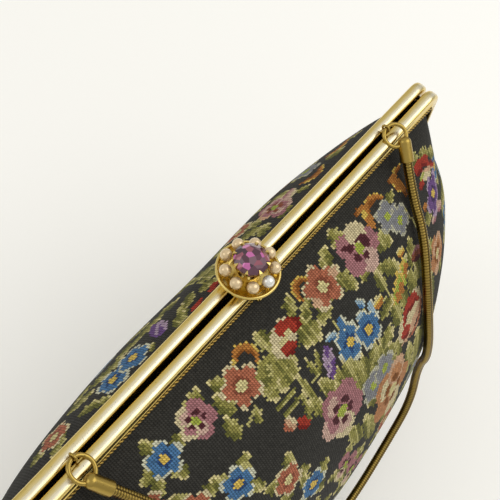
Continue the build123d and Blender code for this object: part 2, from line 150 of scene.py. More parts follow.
body = {
    "rows": [  # height, half width, depth to the front, depth to the back, mm
        (0, 77, 32, 13),
        (6, 86, 41, 18),
        (20, 96, 49, 22),
        (45, 105.5, 56, 25),
        (75, 109, 58.5, 26),
        (100, 109.8, 53, 23.5),
        (112, 108.6, 47.5, 21.5),
        (118, 105.6, 44, 20.5),
        (123, 102.2, 40.5, 19.3),
        (130, 100.9, 33, 17),
        (138, 99.5, 21.5, 12),
        (144.2, 98.2, 5.5, 5.5),
    ],
    "rimRows": [(144.9, 97.8, 4.0, 4.0), (145.6, 97.2, 3.0, 3.0), (147.5, 95.0, 2.8, 2.8)],
    "frontFullness": 0.58,
    "backFullness": 0.67,
    "stitch": 0.85,  # one stitch, mm
    "waves": 0.35,  # unevenness of the cloth, mm
}


def bodyRows(inset):
    # cubic through the given rows, each with the slope of the line between its neighbours, then set in by the
    # inset, measured square to the cloth
    given = np.array(body["rows"], float)
    before, after = given[[0, *range(len(given) - 1)]], given[[*range(1, len(given)), -1]]
    slope = (after - before) / (after[:, :1] - before[:, :1])
    fine = np.linspace(0, given[-1, 0], 1500)
    k = np.clip(np.searchsorted(given[:, 0], fine, side="right") - 1, 0, len(given) - 2)
    span = (given[k + 1, 0] - given[k, 0])[:, None]
    f = (fine - given[k, 0])[:, None] / span
    values = (
        (2 * f**3 - 3 * f**2 + 1) * given[k]
        + (f**3 - 2 * f**2 + f) * span * slope[k]
        + (3 * f**2 - 2 * f**3) * given[k + 1]
        + (f**3 - f**2) * span * slope[k + 1]
    )
    values[:, 0] = fine
    if inset:
        lean = np.gradient(values[:, 2:], fine, axis=0)
        values[:, 2:] = np.maximum(values[:, 2:] - inset * np.hypot(1, lean), 1.6)
        values[:, 1] -= inset
        values[:, 0] = np.maximum(values[:, 0], inset)
    return values


# rows one spacing apart down the middle line, and their distance from the rim
def alongRows(values, column, spacing):
    down = values[::-1]
    step = np.hypot(np.diff(down[:, 0]), np.diff(down[:, column]))
    distance = np.concatenate([[0], np.cumsum(step)])
    wanted = np.arange(0, distance[-1], spacing)
    return np.stack([np.interp(wanted, distance, down[:, c]) for c in range(4)], axis=1), wanted


def panelPoints(rows, column, fullness, columns, pitch):
    # across a row the cloth follows two cubic Bezier quarters, from the end (a, 0) over (a, k b) and (k a, b)
    # to the
    # middle (0, b), by true distance from the middle line
    s = np.linspace(0, 1, 160)[None, :]
    a, b, k = rows[:, 1:2], rows[:, column : column + 1], fullness
    x = a * ((1 - s) ** 3 + 3 * (1 - s) ** 2 * s + 3 * (1 - s) * s**2 * k)
    y = b * (3 * (1 - s) ** 2 * s * k + 3 * (1 - s) * s**2 + s**3)
    length = np.concatenate(
        [np.zeros((len(rows), 1)), np.cumsum(np.hypot(np.diff(x), np.diff(y)), axis=1)], axis=1
    )
    fromMiddle = length[:, -1:] - length
    offset = (np.arange(columns + 1) - columns / 2) * pitch
    clipped = np.clip(offset[None, :], -fromMiddle[:, :1], fromMiddle[:, :1])
    px = np.stack([np.interp(abs(clipped[r]), fromMiddle[r, ::-1], x[r, ::-1]) for r in range(len(rows))])
    py = np.stack([np.interp(abs(clipped[r]), fromMiddle[r, ::-1], y[r, ::-1]) for r in range(len(rows))])
    towards = -1 if column == 2 else 1
    return np.stack(
        [np.sign(clipped) * px, towards * py, np.repeat(rows[:, :1], columns + 1, axis=1)], axis=-1
    ), clipped


def panelGrid(column, fullness, pitch, inset, bottomRows):
    # one side of the body, from the rim down and across the bottom to the middle line
    rows, down = alongRows(bodyRows(inset), column, pitch)
    rim = np.array(body["rimRows"][::-1], float)
    if inset:
        rim[:, 2:] = np.maximum(rim[:, 2:] - 0.5, 1.6)
        rim[:, 1] -= inset
    rows = np.concatenate([rim, rows])
    down = np.concatenate([-np.arange(len(rim), 0, -1) * pitch, down])
    points, across = panelPoints(rows, column, fullness, int(300 / pitch), pitch)
    if column == 2:
        points, across = points[:, ::-1], across[:, ::-1]
    under = points[-1:].repeat(bottomRows, axis=0)
    under[..., 1] *= (1 - np.arange(1, bottomRows + 1) / bottomRows)[:, None]
    points = np.concatenate([points, under])
    across = np.concatenate([across, across[-1:].repeat(bottomRows, axis=0)])
    down = np.concatenate([down, down[-1] + pitch * np.arange(1, bottomRows + 1)])
    width = abs(np.diff(across, axis=1))
    keep = np.maximum(width[:-1], width[1:]) > 1e-6
    centreAcross = (across[:-1, :-1] + across[1:, 1:]) / 2
    centreDown = np.repeat((down[:-1, None] + down[1:, None]) / 2, across.shape[1] - 1, axis=1)
    return points, keep, centreAcross, centreDown


# slow waves on the cloth: three sines of the place, fading out at rim and bottom
def roughen(points, amount):
    x, y, z = points[..., 0], points[..., 1], points[..., 2]
    wave = np.sin(x / 17 + z / 23) + np.sin(
        x / 9.5 - z / 13 + 1.3
    ) * 0.6 + np.sin(x / 29 + z / 8.5 + 2.1) * 0.7
    fade = np.clip((143 - z) / 12, 0, 1) * np.clip(z / 10, 0, 1) * np.clip(abs(y) / 8, 0, 1)
    moved = points.copy()
    moved[..., 1] += np.sign(y) * wave * fade * amount
    return moved


yarns = {
    "ground": "#383733",
    "lemon": "#d8cc92",
    "leafLight": "#bbb472",
    "leaf": "#97924e",
    "leafDark": "#6a6a34",
    "lime": "#a6b24a",
    "cream": "#d8caa0",
    "tan": "#d2aa88",
    "rust": "#b26b50",
    "rustDark": "#8c4f3a",
    "red": "#a83a2a",
    "redDark": "#7a2018",
    "mauve": "#ab767a",
    "mauveLight": "#cdac9c",
    "mauveDark": "#54292f",
    "blue": "#4c77a2",
    "blueDark": "#2b4a78",
    "sky": "#9fb8c4",
    "ice": "#cfd0b8",
    "yellow": "#dcbd5c",
    "orange": "#b5793a",
    "orangeDark": "#855020",
    "peach": "#bd8558",
    "purple": "#6d4d86",
    "purpleDark": "#46305e",
    "lilac": "#b09ab0",
    "grey": "#8c8d90",
    "greyLight": "#b9b79f",
}


class Embroidery:  # a cloth of stitches; across and down are the place of each one, in mm from middle and rim
    def __init__(self, across, down, seed):
        self.across, self.down = across, down
        self.random = np.random.default_rng(seed)
        self.fray = self.random.uniform(-1, 1, across.shape)
        self.colour = np.zeros(across.shape + (3,))
        self.colour[:] = linearColour(yarns["ground"])[:3]
        self.stripe = np.where(np.round(across / body["stitch"]) % 2 > 0.5, 1, -1)

    def fill(self, where, yarn):
        self.colour[where] = linearColour(yarns[yarn])[:3]

    # along and across a direction: 0 points right, 90 down, away from the frame
    def local(self, place, angle):
        dx, dy = self.across - place[0], self.down - place[1]
        c, s = math.cos(math.radians(angle)), math.sin(math.radians(angle))
        return dx * c + dy * s, -dx * s + dy * c

    def leaf(self, foot, tip, width, light=1, tones=("leafDark", "leaf", "leafLight", "lemon")):
        # a toothed oval from foot to tip; tone = side of the rib + height along it + stripes of stitches
        angle = math.degrees(math.atan2(tip[1] - foot[1], tip[0] - foot[0]))
        length = math.dist(foot, tip)
        u, v = self.local(foot, angle)
        f = np.clip(u / length, 0, 1)
        half = width / 2 * np.sin(math.pi * f**0.8) ** 0.65
        half = half * (1 + 0.2 * np.sin(u * 2.3 + np.sign(v)) + 0.1 * self.fray)
        inside = (u > 0) & (u < length) & (abs(v) < half)
        tone = 0.42 + light * 0.34 * v / (width / 2) + 0.3 * (f - 0.5) + 0.15 * self.stripe + 0.1 * self.fray
        self.fill(inside, tones[0])
        self.fill(inside & (tone > 0.2), tones[1])
        self.fill(inside & (tone > 0.46), tones[2])
        self.fill(inside & ((tone > 0.76) | (f > 0.86)), tones[3])

    def petal(self, place, length, width, angle, base, middle, tip, blunt=0.5):
        # an oval that starts at the place; the tone changes from base to tip
        u, v = self.local(place, angle)
        f = np.clip(u / length, 0, 1)
        half = width / 2 * np.sin(math.pi * f**1.15) ** blunt * (1 + 0.08 * self.fray)
        inside = (u > -0.2) & (u < length) & (abs(v) < half)
        self.fill(inside, middle)
        self.fill(inside & (f < 0.34 + 0.06 * self.fray), base)
        self.fill(inside & ((f > 0.78 + 0.05 * self.fray) | (abs(v) > half * 0.8) & (f > 0.55)), tip)

    def flower(self, place, radius, turn, tones, petals=5, width=0.78, blunt=0.4, heart=0.27):
        # petals round a heart; tones are heart, base, middle, tip
        for k in range(petals):
            self.petal(place, radius, radius * width, turn + 360 / petals * k, *tones[1:], blunt)
        u, v = self.local(place, 0)
        self.fill(np.hypot(u, v) < heart * radius * (1 + 0.1 * self.fray), tones[0])

    def disc(self, place, radius, yarn, flat=1.0, angle=0):
        u, v = self.local(place, angle)
        self.fill(np.hypot(u, v / flat) < radius * (1 + 0.07 * self.fray), yarn)

    def rose(self, place, radius, turn, rims, fill, hollow, heart):
        # five round petals, each with its own rim tone, a body tone and a dark hollow beside the heart
        for k, rim in enumerate(rims):
            a = math.radians(turn + 360 / len(rims) * k)
            tone = fill[k % len(fill)]
            for share, size, yarn, flat in (
                (0.58, 0.46, rim, 0.95), (0.5, 0.33, tone, 0.8), (0.36, 0.2, hollow, 0.6)
            ):
                away = (place[0] + share * radius * math.cos(a), place[1] + share * radius * math.sin(a))
                self.disc(away, size * radius, yarn, flat, math.degrees(a) + 90)
        self.disc(place, 0.21 * radius, heart)

    def scroll(self, place, radius, width, start, end, tones=("orangeDark", "orange", "yellow")):
        # a curled band between two angles, tapering to both ends, darker inside
        u, v = self.local(place, 0)
        f = ((np.degrees(np.arctan2(v, u)) - start) % 360) / (end - start)
        thick = width * (0.35 + 0.65 * np.sin(math.pi * np.clip(f, 0, 1))) * (1 + 0.1 * self.fray)
        away = (np.hypot(u, v) - radius) / thick
        inside = (f < 1) & (abs(away) < 0.5)
        self.fill(inside, tones[1])
        self.fill(inside & (away + 0.1 * self.stripe > 0.26), tones[2])
        self.fill(inside & (away + 0.1 * self.stripe < -0.24), tones[0])

    def stem(self, first, last, width=0.9, yarn="leafLight"):
        angle = math.degrees(math.atan2(last[1] - first[1], last[0] - first[0]))
        u, v = self.local(first, angle)
        self.fill((u > 0) & (u < math.dist(first, last)) & (abs(v) < width / 2), yarn)

    def oval(self, place, length, width, angle, tones):
        # a bud in three slanting bands
        u, v = self.local(place, angle)
        inside = (2 * u / length) ** 2 + (2 * v / width) ** 2 < 1 + 0.15 * self.fray
        self.fill(inside, tones[1])
        self.fill(inside & (v > 0.18 * width), tones[0])
        self.fill(inside & (v < -0.2 * width), tones[2])

    def finished(self):  # each stitch a little lighter or darker than its yarn
        shade = 1 + self.random.normal(0, 0.11, self.across.shape)
        return np.clip(self.colour * shade[..., None], 0, 1)


rustTones = ("lemon", "rustDark", "rust", "cream")
blueTones = ("yellow", "blueDark", "blue", "ice")
greyTones = ("lime", "grey", "grey", "greyLight")
purpleTones = ("yellow", "purpleDark", "purple", "lilac")


def frontGarland(c):
    # small leaves behind the flowers of the upper row: foot, tip, width, lighter side
    for foot, tip, width, light in (
        ((-41, 10), (-33, 5), 5.5, -1), ((-26, 13), (-30, 6), 5.5, 1), ((-31, 19), (-31, 10), 6, 1),
        ((-7, 14), (-10, 6), 6, -1), ((-9, 15), (-20, 16), 5, 1), ((-14, 17), (-18.5, 26), 8, 1),
        ((-9, 15), (-14, 26.5), 8, 1), ((-7, 15), (-8, 26), 7, -1), ((-22, 18), (-13, 22), 5, 1),
        ((3, 12), (7.5, 5.5), 4.5, 1), ((5, 15), (13, 10.5), 4, -1), ((2, 14), (6.5, 23.5), 9, -1),
        ((8, 17), (0, 22), 6, -1), ((18, 15), (8, 20.5), 5.5, -1), ((22, 11), (28.5, 4.5), 5, -1),
        ((24, 13), (28, 22), 6, -1), ((34, 9.5), (33, 1.8), 6, 1), ((36, 8), (29.5, 7), 3.6, 1),
        ((37, 19), (30, 22), 3.6, 1), ((43, 16), (50, 22.5), 7, -1), ((56, 13), (63, 11.5), 3.6, 1),
        ((42, 25), (37, 23), 3, 1), ((40, 24.5), (47.5, 31), 6, -1), ((36.5, 31), (37, 22.3), 5, 1),
        ((29, 36.5), (39, 35), 4.5, 1), ((-1.8, 32), (-2, 23), 2.4, 1), ((-0.5, 31), (2.5, 24), 2.4, -1),
        ((-7, 37), (-7.5, 25), 2.6, 1), ((-12, 40), (-9, 30), 3, 1), ((-20, 28), (-9, 28), 1.8, 1),
        ((-19, 31.5), (-8, 31), 1.8, 1), ((-26, 27), (-24, 21), 3, 1), ((-34, 26), (-33, 17), 5, 1),
        ((2, 43), (-3, 32), 6, 1), ((4, 43), (4.5, 33.5), 5.5, -1), ((-6, 43), (-9, 34), 5, 1),
        ((12, 51), (8.5, 33), 7.5, 1), ((14, 50), (15.5, 38), 4, -1), ((9, 44), (1, 38), 5, -1),
        ((14, 48), (33, 43.5), 9, -1), ((15, 47), (23, 39), 4, 1), ((24, 46), (32, 41), 4, 1),
        ((27, 58), (28.5, 46), 7, 1), ((32, 57), (33, 49), 5, -1), ((20, 60), (10, 57.5), 6, 1),
        ((36, 46), (37, 36), 7, 1), ((43, 44), (41, 37), 6, -1), ((50, 46), (49, 35), 7, 1),
        ((54, 44), (58, 33), 6, -1), ((52, 37), (58, 28), 5, 1), ((57, 50), (64, 38), 7, 1),
        ((36, 74), (39, 58), 8, 1), ((44, 78), (46, 59), 9, -1), ((52, 72), (53, 57), 7, 1),
        ((60, 66), (63, 50), 7, -1), ((12, 78), (8, 60), 7, 1), ((5, 70), (0, 58), 7, -1),
        ((79, 18), (78, 8), 5, 1), ((82, 15), (89, 22), 5, -1), ((88, 21), (96, 30), 4.6, -1),
        ((95, 28), (103, 38), 4.6, -1), ((102, 36), (112, 46), 4.8, -1), ((110, 45), (119, 56), 5, -1),
        ((70, 34), (76, 38), 5, 1), ((70, 48), (64, 38), 5, 1), ((88, 46), (98, 50), 5, 1),
        ((96, 46), (108, 58), 6, 1), ((74, 62), (70, 50), 6, 1), ((84, 62), (92, 52), 6, -1),
        ((92, 66), (106, 66), 7, -1), ((104, 72), (116, 66), 6, 1), ((116, 62), (126, 74), 6, -1),
    ):
        c.leaf(foot, tip, width, light)
    for first, last in (
        ((13, 22), (14, 29)), ((25.5, 27), (24.5, 31)), ((37, 29), (36.8, 34)), ((-5, 31), (-1, 31)),
        ((31, 33), (36, 33)), ((-8, 26), (-8, 36)), ((-24, 22), (-30, 25)), ((62, 20), (64, 32)),
    ):
        c.stem(first, last)
    # upper row of flowers
    c.rose(
        (-40, 12), 6.5, 20, ("mauve", "mauve", "cream", "cream", "mauve"), ("mauve", "mauveLight"),
        "mauveDark", "lime"
    )
    c.flower((-23.3, 14.4), 7.8, 198, rustTones, width=0.7, blunt=0.75, heart=0.25)
    c.scroll((-16.8, 9.6), 3.5, 3.0, 195, 430)
    c.petal((-19, 8.3), 2.6, 2.0, 195, "orange", "yellow", "cream")
    c.oval((-3.2, 13.8), 13.5, 8.5, -32, ("cream", "cream", "cream"))
    c.petal((-4.3, 10.6), 9.5, 5.2, 22, "red", "red", "redDark", 0.35)
    c.oval((-4.2, 17.3), 6.2, 3.8, 8, ("redDark", "red", "red"))
    c.stem((-6, 14.6), (0, 13.6), 1.6, "lemon")
    c.scroll((12.6, 9.0), 3.4, 2.8, 150, 335)
    c.flower((18.1, 12.4), 8.2, 62, rustTones, width=0.7, blunt=0.75, heart=0.23)
    c.petal((20.5, 12.2), 7, 3.4, -4, "rust", "tan", "cream")
    c.petal((16, 13.5), 5, 3.4, 165, "rust", "tan", "tan")
    c.rose(
        (37.3, 14.0), 9.0, 12, ("mauve", "mauveLight", "mauve", "mauve", "cream"),
        ("mauve", "mauveLight", "mauve", "mauve", "cream"), "mauveDark", "lime"
    )
    c.disc((38.5, 9.0), 3.3, "cream", 0.7)
    c.disc((33.5, 10.6), 1.9, "mauveDark", 0.5, 30)
    c.disc((40.8, 13.6), 1.5, "mauveDark", 1.6)
    c.scroll((52.6, 11.0), 4.4, 3.2, 185, 355)
    c.petal((50.5, 6.6), 6.5, 2.6, 188, "orange", "orange", "orangeDark")
    c.petal((47.6, 6.5), 7.8, 3.4, 95, "yellow", "orange", "orange")
    c.flower((54.0, 15.6), 6.0, 10, greyTones)
    c.flower((57.8, 21.0), 5.6, 40, greyTones)
    # second row
    c.flower((14.5, 32.2), 6.6, 20, blueTones, width=0.86, blunt=0.3, heart=0.25)
    c.flower((22.8, 34.7), 6.6, 55, blueTones, width=0.86, blunt=0.3, heart=0.27)
    for place, length, width, angle, tones in (
        ((9.4, 25.4), 5, 2.8, 10, ("blue", "sky", "ice")),
        ((15.4, 25.0), 4.4, 4.2, 80, ("blue", "blue", "ice")),
        ((25.3, 26.0), 4.2, 3.2, 60, ("blue", "sky", "ice")),
        ((22.2, 28.4), 3.6, 2.8, 0, ("sky", "sky", "ice")),
        ((28.2, 29.8), 4.2, 3.6, 90, ("sky", "sky", "ice")),
        ((31.6, 31.0), 5.2, 3.8, 0, ("orange", "yellow", "lemon")),
        ((50.6, 28.2), 4.4, 3.4, 20, ("orange", "yellow", "lemon")),
        ((72.8, 31.3), 3.6, 2.8, 20, ("orangeDark", "orange", "orange")),
        ((57.6, 36.4), 7.5, 5, 20, ("mauveDark", "rustDark", "mauve")),
        ((77.5, 40.5), 7, 3.4, 10, ("mauve", "mauveLight", "cream")),
        ((84.5, 43), 9, 3.8, 35, ("mauve", "mauveLight", "mauveLight")),
        ((-18.5, 35), 5.5, 4.5, 70, ("rust", "tan", "cream")),
        ((-14.5, 38.5), 5.5, 4, 50, ("redDark", "red", "red")),
    ):
        c.oval(place, length, width, angle, tones)
    c.oval((4.2, 31.0), 10.5, 4.8, 292, ("purple", "purple", "lilac"))
    c.stem((1.6, 30.6), (6.8, 30.8), 1.4, "lilac")
    c.stem((2.2, 34), (7, 28), 1.0, "lilac")
    c.leaf((37, 38), (53, 31), 6.5, -1, ("orange", "lime", "yellow", "lemon"))
    c.disc((43, 36.2), 1.4, "orange", 0.7)
    c.disc((49, 33.4), 1.3, "orange", 0.7)
    # rose of two reds, side rose, and the larger ones further down
    c.oval((43, 50), 20, 13, -14, ("tan", "cream", "cream"))
    c.scroll((44, 51), 6.0, 4.6, 195, 350, ("redDark", "red", "red"))
    c.oval((38.2, 52.4), 6.5, 5, 20, ("redDark", "red", "red"))
    c.oval((45, 47.5), 5.5, 2.4, 10, ("redDark", "redDark", "red"))
    c.scroll((44, 50.5), 7.5, 2.2, 0, 120, ("rust", "rust", "tan"))
    c.rose(
        (0.0, 48.5), 10.5, 25, ("mauve", "cream", "mauveLight", "mauve", "mauve"), ("mauve", "mauveLight"),
        "mauveDark", "lime"
    )
    c.flower((15.8, 53.6), 6.6, 10, greyTones, width=0.86)
    c.flower((22.8, 53.0), 6.4, 45, greyTones, width=0.86)
    c.rose(
        (25, 67), 12.5, 15, ("peach", "cream", "peach", "peach", "tan"), ("peach", "cream"), "orangeDark",
        "lemon"
    )
    c.rose(
        (71.5, 51.5), 7.5, 40, ("peach", "tan", "peach", "peach", "tan"), ("peach", "tan"), "orangeDark",
        "lemon"
    )
    # right end
    c.scroll((69.5, 12.5), 4.4, 3.0, 120, 300)
    c.petal((68.5, 9.5), 6.2, 3, 190, "orange", "orange", "orangeDark")
    c.petal((66.8, 9), 10, 2.8, 92, "orange", "orange", "orangeDark")
    c.oval((79.6, 18.2), 8.5, 5.2, 12, ("redDark", "red", "red"))
    c.oval((84.2, 20.5), 7.5, 4.4, 45, ("redDark", "red", "red"))
    c.oval((76.2, 24.0), 4.8, 3.2, 20, ("redDark", "red", "red"))
    c.oval((82.0, 25.0), 9, 4.5, 40, ("cream", "cream", "tan"))
    c.oval((88, 27), 10, 3, 48, ("tan", "red", "redDark"))
    c.oval((78.2, 22.2), 4.4, 2.2, 10, ("lime", "lime", "leafLight"))
    c.flower((82.0, 34.6), 8.0, 42, purpleTones, width=0.74, blunt=0.3, heart=0.2)
    c.disc((82.2, 34.8), 2.6, "yellow", 0.45, 48)


def backGarland(c):
    for foot, tip, width, light in (
        ((-60, 17), (-50, 13), 6, -1), ((-50, 17), (-36, 14), 6, -1), ((-38, 18), (-28, 14.5), 5, -1),
        ((-30, 16), (-18, 14), 5.5, -1), ((-20, 16), (-12, 13), 5, 1), ((-6, 16), (4, 10.5), 6, -1),
        ((-56, 5), (-51, 1.5), 3.6, 1), ((-60, 8), (-53, 5), 4, 1), ((-20.5, 2), (-14, 8), 4, 1),
        ((-24, 1.5), (-17, 4.5), 4, -1), ((-10, 9), (-16, 4), 3.6, 1), ((-9, 6), (-2, 3), 4.6, -1),
        ((-6, 10), (3, 6), 5, -1), ((15, 10), (22, 6), 5, -1), ((17, 3), (24, 5), 4, 1),
        ((20, 11.5), (27, 9), 4.6, 1),
        ((26, 2.5), (34, 3.5), 3.4, 1), ((34, 14), (41, 11), 5, -1), ((24, 14), (17, 13), 4.5, 1),
        ((39, 6), (44, 3.5), 3, 1), ((46, 16), (54, 12), 5, -1), ((58, 9), (66, 7), 4, 1),
        ((70, 13), (78, 10), 5, -1),
        ((-34, 2), (-31, 5), 2.6, 1), ((-66, 8), (-74, 4), 5, 1), ((-78, 12), (-70, 12), 5, -1),
        ((-48, 24), (-56, 18), 6, 1), ((-30, 26), (-22, 19), 7, -1), ((-10, 22), (-2, 17), 6, 1),
        ((12, 22), (8, 14), 6, 1),
        ((30, 24), (36, 16), 7, -1), ((54, 24), (60, 15), 7, 1), ((74, 26), (68, 18), 7, -1),
        ((86, 22), (84, 12), 6, 1),
    ):
        c.leaf(foot, tip, width, light)
    c.flower((-46.2, 7.5), 6.0, 10, blueTones, width=0.86, blunt=0.3)
    c.flower((-37.4, 7.6), 6.0, 50, blueTones, width=0.86, blunt=0.3)
    c.oval((-25.6, 8.4), 9.5, 6.4, 70, ("purple", "purple", "lilac"))
    c.stem((-28, 6), (-23, 12), 1.1, "lilac")
    c.oval((-13.8, 1.6), 5.5, 2.6, 10, ("red", "red", "redDark"))
    c.oval((-6.2, 1.8), 5.5, 2.6, 10, ("red", "red", "redDark"))
    c.rose(
        (31.0, 8.8), 6.4, 30, ("mauveLight", "mauve", "tan", "mauve", "mauveLight"), ("mauve", "mauveLight"),
        "rustDark", "lime"
    )
    c.oval((38.5, 8.2), 6.5, 4, 15, ("mauve", "mauveLight", "cream"))
    c.scroll((49.5, 12.5), 7, 2.8, 215, 320)
    c.scroll((66, 18), 8, 2.8, 225, 330)
    c.flower((52.5, 14.0), 5.6, 20, greyTones)
    c.rose(
        (-6, 30), 9, 30, ("mauve", "cream", "mauve", "mauve", "cream"), ("mauve", "mauveLight"), "mauveDark",
        "lime"
    )
    c.flower((-68, 12), 6, 30, rustTones)
    c.flower((20, 18), 6, 30, rustTones)
    c.rose(
        (44, 26), 8.5, 10, ("peach", "cream", "peach", "peach", "tan"), ("peach", "cream"), "orangeDark",
        "lemon"
    )
    c.flower((-40, 30), 6.5, 30, blueTones, width=0.86, blunt=0.3)
    c.flower((78, 18), 6, 30, purpleTones)


def lowerGarland(c):
    # the rest of the cloth, out of sight in most views: the same kinds in loose rows, mirrored from side to
    # side
    for row, down in enumerate(range(84, 230, 15)):
        for place in range(-132, 133, 22):
            s = place + (row % 2) * 11
            kind = (place // 22 + row * 2) % 5
            for turn in (20, 95, 160, 235, 310):
                a = math.radians(turn + 13 * kind)
                c.leaf(
                    (s + 4 * math.cos(a), down + 4 * math.sin(a)),
                    (s + 11 * math.cos(a), down + 11 * math.sin(a)), 5
                )
            if kind == 0:
                c.rose(
                    (s, down), 7, 20, ("mauve", "cream", "mauve"), ("mauve", "mauveLight"), "mauveDark",
                    "lime"
                )
            elif kind == 3:
                c.rose((s, down), 7, 20, ("peach", "cream", "peach"), ("peach", "tan"), "orangeDark", "lemon")
            else:
                c.flower(
                    (s, down), 6.5, 30 * row, (blueTones, rustTones, greyTones, purpleTones)[(kind + row) % 4]
                )


def sideGarland(c, side, nearest):
    # the upper rows go on towards the end of the bag at that side, from the nearest place on
    places = (
        (54, 14), (66, 24), (80, 18), (92, 32), (56, 34), (72, 42), (90, 54), (60, 58), (78, 66), (106, 48),
        (118, 62), (104, 72), (42, 37), (28, 50), (44, 58), (20, 63), (34, 72), (4, 74), (50, 74), (66, 75),
        (86, 78),
    )
    for k, (s, t) in enumerate(places):
        if s < nearest:
            continue
        for turn in (10, 100, 190, 280):
            a = math.radians(turn + 25 * k)
            c.leaf(
                (side * (s + 3 * math.cos(a)), t + 3 * math.sin(a)),
                (side * (s + 10 * math.cos(a)), t + 10 * math.sin(a)), 5
            )
        if k % 3 == 2:
            c.rose(
                (side * s, t), 6.8, 20, ("mauve", "cream", "mauve"), ("mauve", "mauveLight"), "mauveDark",
                "lime"
            )
        else:
            c.flower((side * s, t), 6.3, 30 * k, (blueTones, rustTones)[k % 3])


# wool tent stitch: slanted ovals on dark canvas, matt, with hardly any gloss
wool, tree, shader = newMaterial(
    "petitPointWool", {
        "Roughness": 0.85, "Specular IOR Level": 0.12, "Sheen Weight": 0.03, "Sheen Roughness": 0.6
    }
)
apart = addNode(tree, "ShaderNodeSeparateXYZ", links={0: addNode(tree, "ShaderNodeTexCoord").outputs["UV"]})
fromX = addNode(tree, "ShaderNodeMath", {"operation": "SUBTRACT", 1: 0.5}, {0: apart.outputs[0]})
fromY = addNode(tree, "ShaderNodeMath", {"operation": "SUBTRACT", 1: 0.5}, {0: apart.outputs[1]})
slant = addNode(
    tree, "ShaderNodeMath", {"operation": "MULTIPLY_ADD", 1: -0.4}, {0: fromY.outputs[0], 2: fromX.outputs[0]}
)
wide = addNode(tree, "ShaderNodeMath", {"operation": "MULTIPLY", 1: 2.15}, {0: slant.outputs[0]})
tall = addNode(tree, "ShaderNodeMath", {"operation": "MULTIPLY", 1: 1.75}, {0: fromY.outputs[0]})
wideSquare = addNode(
    tree, "ShaderNodeMath", {"operation": "MULTIPLY"}, {0: wide.outputs[0], 1: wide.outputs[0]}
)
both = addNode(
    tree, "ShaderNodeMath", {"operation": "MULTIPLY_ADD"},
    {0: tall.outputs[0], 1: tall.outputs[0], 2: wideSquare.outputs[0]}
)
inside = addNode(
    tree, "ShaderNodeMath", {"operation": "SUBTRACT", 0: 1.0, "use_clamp": True}, {1: both.outputs[0]}
)
swell = addNode(tree, "ShaderNodeMath", {"operation": "POWER", 1: 0.55}, {0: inside.outputs[0]})
yarn = addNode(tree, "ShaderNodeAttribute", {"attribute_name": "yarn"})
# between the stitch ovals the yarn's colour is multiplied darker: the backing showing through, together with
# painted shade in the gaps
canvasAndShade = addNode(
    tree, "ShaderNodeMix", {"data_type": "RGBA", "blend_type": "MULTIPLY", 0: 1.0}, {6: yarn.outputs[0]}
)
canvasAndShade.inputs[7].default_value = (0.4, 0.38, 0.35, 1)
dyed = addNode(
    tree, "ShaderNodeMix", {"data_type": "RGBA"},
    {0: swell.outputs[0], 6: canvasAndShade.outputs[2], 7: yarn.outputs[0]}
)
tree.links.new(dyed.outputs[2], shader.inputs["Base Color"])
bump = addNode(tree, "ShaderNodeBump", {"Strength": 0.5, "Distance": 0.0002}, {"Height": swell.outputs[0]})
tree.links.new(bump.outputs[0], shader.inputs["Normal"])


def needleworkPanel(name, column, fullness, seed):
    points, keep, across, down = panelGrid(column, fullness, body["stitch"], 0, 22)
    cloth = Embroidery(across, down, seed)
    lowerGarland(cloth)
    if column == 2:
        sideGarland(cloth, -1, 0)
        sideGarland(cloth, 1, 84)
        frontGarland(cloth)
    else:
        backGarland(cloth)
    uv = np.broadcast_to(np.array([[0, 1], [0, 0], [1, 0], [1, 1]], float), keep.shape + (4, 2))
    thing, used = gridMesh(name, roughen(points, body["waves"]) * mm, wool, keep, uv=uv)
    colour = np.concatenate([cloth.finished(), np.ones(keep.shape + (1,))], axis=-1)[used]
    layer = thing.data.attributes.new("yarn", "FLOAT_COLOR", "CORNER")
    layer.data.foreach_set("color", np.repeat(colour, 4, axis=0).astype(np.float32).ravel())
    return thing


# the front cloth is hung on the bag; the back cloth is fixed where it is made, in place of the back panels
finishPiece(
    needleworkPanel("needleworkFront", 2, body["frontFullness"], 3), "bag", "needlework", "front_panel"
)
backCloth = needleworkPanel("needleworkBack", 3, body["backFullness"], 5)
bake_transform(backCloth)
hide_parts("back_panel", "back_panel_top")
print("needlework stitched")

lining = {"colour": "#b9a57e", "inside": 1.6}
satin, tree, shader = newMaterial(  # rayon satin: smooth floats that gleam softly
    "rayonSatin", {"Base Color": linearColour(lining["colour"]), "Roughness": 0.42, "Sheen Weight": 0.2}
)
where = addNode(tree, "ShaderNodeTexCoord").outputs["Object"]
crumple = addNode(tree, "ShaderNodeTexNoise", {"Scale": 90.0, "Detail": 3.0}, {0: where})
bump = addNode(tree, "ShaderNodeBump", {"Strength": 0.3, "Distance": 0.0008}, {"Height": crumple.outputs[0]})
tree.links.new(bump.outputs[0], shader.inputs["Normal"])
for name, column, fullness in (
    ("liningFront", 2, body["frontFullness"]), ("liningBack", 3, body["backFullness"])
):
    points, keep, across, down = panelGrid(column, fullness, 2.5, lining["inside"], 6)
    thing, used = gridMesh(name, points[:, ::-1] * mm, satin, keep[:, ::-1])
    if column == 2:
        finishPiece(thing, "bag", "lining", "lining")
    else:
        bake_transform(thing)
print("lining sewn")

metals = {
    "gilt": "#dcc272",
    # near-white for the crest: the metal under the gilding together with a painted highlight
    "wearAndHighlight": "#f2eedd",
    "tarnish": "#5e4a1e",
    "chain": "#ab914a",
    # painted shade for the chain's recesses, also the tarnish specks of its rings and caps
    "chainShadeAndTarnish": "#2e200c",
    "thread": "#b4954a",
    # painted shade for the recesses between the thread's strands
    "threadRecessShade": "#2f2410",
}


